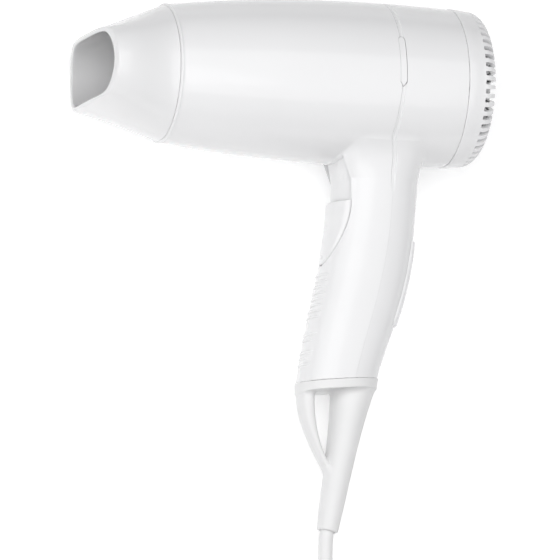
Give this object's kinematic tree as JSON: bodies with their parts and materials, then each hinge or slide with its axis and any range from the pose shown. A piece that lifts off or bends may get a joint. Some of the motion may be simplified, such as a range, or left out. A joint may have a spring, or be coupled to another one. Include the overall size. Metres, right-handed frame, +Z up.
{
  "type": "hair dryer",
  "caption": "Compact white hand-held hair dryer lying on its side: barrel with flat concentrator nozzle, ribbed rear intake, curved handle, slide switch, hanging loop and coiled cord.",
  "frame": {"origin": "on the table, under the middle of the dryer's own box, its cord left out", "axes": "+Y from the cord guard along the handle towards the barrel, +X along the barrel towards the air intake, +Z up from the table that the dryer lies on"},
  "size_m": [0.1968, 0.3932, 0.075],
  "materials": {
    "shell_white": "glossy moulded plastic, fine polish",
    "switch_white": "fine satin moulded plastic",
    "cord_white": "soft satin PVC",
    "inner_grey": "heat-resistant moulding, matte",
    "mica": "mica sheet, slight sheen",
    "steel": "plain bright steel",
    "brass": "bright plated brass",
    "nichrome": "oxidised resistance wire",
    "copper": "enamelled copper winding",
    "black_plastic": "matte moulding",
    "circuit_board": "lacquered laminate",
    "wire_brown": "satin wire insulation",
    "wire_blue": "satin wire insulation"
  },
  "bodies": {
    "root": {"front_shell": "shell_white", "rear_shell": "shell_white", "intake_grille": "shell_white", "rear_plate": "shell_white", "switch_track": "switch_white", "switch_body": "black_plastic", "lint_filter": "inner_grey", "fan_duct": "inner_grey", "outlet_grille": "inner_grey", "cord_clamp": "inner_grey", "motor_magnet": "inner_grey", "motor_can": "steel", "motor_end_cap": "black_plastic", "diode_board": "circuit_board", "diode_1": "black_plastic", "diode_2": "black_plastic", "diode_3": "black_plastic", "diode_4": "black_plastic", "noise_capacitor": "mica", "heater_board_upright": "mica", "heater_board_across": "mica", "heat_liner": "mica", "heater_coil_low": "nichrome", "heater_coil_high": "nichrome", "thermostat": "black_plastic", "thermal_fuse": "steel", "handle_screw_upper": "steel", "handle_screw_lower": "steel", "clamp_screw_1": "steel", "clamp_screw_2": "steel", "cord_guard": "cord_white", "cord_inner": "cord_white", "cord_lead": "cord_white", "cord_coil": "cord_white", "cord_tail": "cord_white", "coil_tie": "black_plastic", "plug_body": "cord_white", "plug_pin_1": "brass", "plug_pin_2": "brass", "wire_live": "wire_brown", "wire_heater": "wire_brown", "wire_neutral": "wire_blue"},
    "fan": {"motor_shaft": "steel", "motor_armature": "copper", "fan_impeller": "inner_grey"},
    "nozzle": {"nozzle": "shell_white"},
    "switch": {"switch_slider": "switch_white", "switch_actuator": "black_plastic"}
  },
  "joints": [
    {"name": "fan_spin", "type": "hinge", "parent": "root", "child": "fan", "pos_m": [0.0514, 0.08369, 0.0375], "axis": [1, 0, 0], "continuous": true},
    {"name": "nozzle_turn", "type": "hinge", "parent": "root", "child": "nozzle", "pos_m": [-0.0581, 0.08369, 0.0375], "axis": [1, 0, 0], "continuous": true},
    {"name": "switch_slide", "type": "slide", "parent": "root", "child": "switch", "axis": [0.0523, 0.9861, 0.1579], "range_m": [0, 0.011]}
  ]
}
